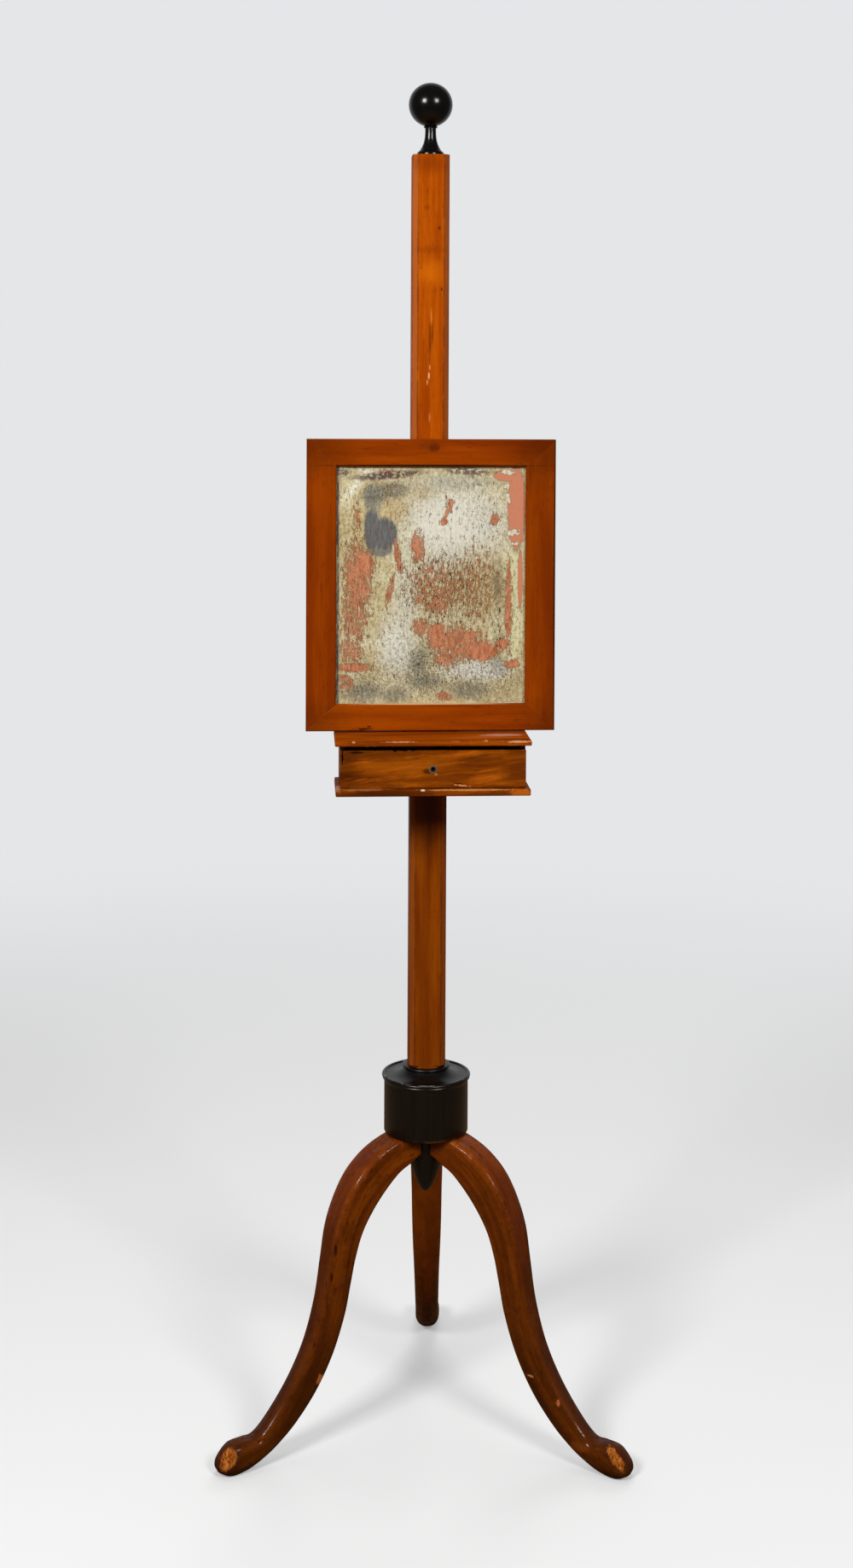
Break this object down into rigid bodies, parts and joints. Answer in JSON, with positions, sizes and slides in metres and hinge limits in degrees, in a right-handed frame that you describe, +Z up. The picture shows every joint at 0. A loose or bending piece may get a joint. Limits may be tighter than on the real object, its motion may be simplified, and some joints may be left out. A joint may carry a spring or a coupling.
{
  "type": "shaving stand",
  "caption": "Free-standing shaving stand: a framed mirror over a small drawer box slides up and down a square post with a ball finial, on a turned hub with sabre legs.",
  "frame": {"origin": "on the floor under the middle of the object's box; the post's axis stands 9.0 mm to +X and 56.3 mm to -Y of it", "axes": "+Z up along the post, -Y is the front that the mirror and the drawer face, +X to the right of someone facing the mirror's front from -Y"},
  "size_m": [0.4902, 0.4538, 1.6442],
  "materials": {
    "mahogany": "old orange-brown varnish, semi-gloss",
    "leg_mahogany": "dark reddish-brown polish, semi-gloss, worn",
    "box_mahogany": "old orange-brown varnish, semi-gloss, worn arrises",
    "frame_mahogany": "red-brown varnish, semi-gloss",
    "ebonised": "ebonised, glossy black polish",
    "deal": "bare softwood, aged",
    "brass": "dull aged brass",
    "old_mirror": "old mirror plate with decayed silvering",
    "leather": "dark leather",
    "bone": "turned bone, matt"
  },
  "bodies": {
    "stand": {"finial": "ebonised", "post": "mahogany", "hub_drum": "ebonised", "pendant_drop": "ebonised", "leg_left": "leg_mahogany", "leg_right": "leg_mahogany", "leg_rear": "leg_mahogany"},
    "carriage": {"carriage_board": "mahogany", "upper_cheek_left": "mahogany", "upper_cheek_right": "mahogany", "upper_back": "mahogany", "lower_cheek_left": "mahogany", "lower_cheek_right": "mahogany", "lower_back": "mahogany", "collar_screws": "brass", "pressure_pad": "brass", "case_back": "box_mahogany", "case_side_left": "box_mahogany", "case_side_right": "box_mahogany", "lid_board": "box_mahogany", "case_bottom": "box_mahogany", "case_screws": "brass", "rest_buffers": "leather", "hinge_leaf_fixed": "brass", "hinge_pin": "brass", "hinge_screws_fixed": "brass"},
    "clamp": {"clamp_screw": "brass", "clamp_knob": "ebonised"},
    "stay_screw": {"tilt_screw": "brass"},
    "mirror": {"hinge_leaf_moving": "brass", "hinge_screws_moving": "brass", "tilt_quadrant": "brass", "quadrant_screws": "brass", "frame_top_rail": "frame_mahogany", "frame_bottom_rail": "frame_mahogany", "frame_stile_left": "frame_mahogany", "frame_stile_right": "frame_mahogany", "mirror_glass": "old_mirror", "mirror_backboard": "deal", "backboard_beads": "deal"},
    "drawer": {"drawer_front": "box_mahogany", "drawer_side_left": "deal", "drawer_side_right": "deal", "drawer_back": "deal", "drawer_bottom": "deal", "knob_ferrule": "bone"}
  },
  "joints": [
    {"name": "carriage_slide", "type": "slide", "parent": "stand", "child": "carriage", "axis": [0, 0, 1], "range_m": [-0.345, 0.35]},
    {"name": "clamp_turn", "type": "hinge", "parent": "carriage", "child": "clamp", "pos_m": [0.00903, -0.02236, 1.1606], "axis": [0, 1, 0], "range_deg": [0, 360]},
    {"name": "mirror_tilt", "type": "hinge", "parent": "carriage", "child": "mirror", "pos_m": [0.00903, -0.08986, 1.2031], "axis": [-1, 0, 0], "range_deg": [0, 30]},
    {"name": "tilt_screw_turn", "type": "hinge", "parent": "carriage", "child": "stay_screw", "pos_m": [0.04293, -0.07057, 1.18012], "axis": [1, 0, 0], "range_deg": [0, 180]},
    {"name": "drawer_slide", "type": "slide", "parent": "carriage", "child": "drawer", "axis": [0, -1, 0], "range_m": [0, 0.045]}
  ]
}
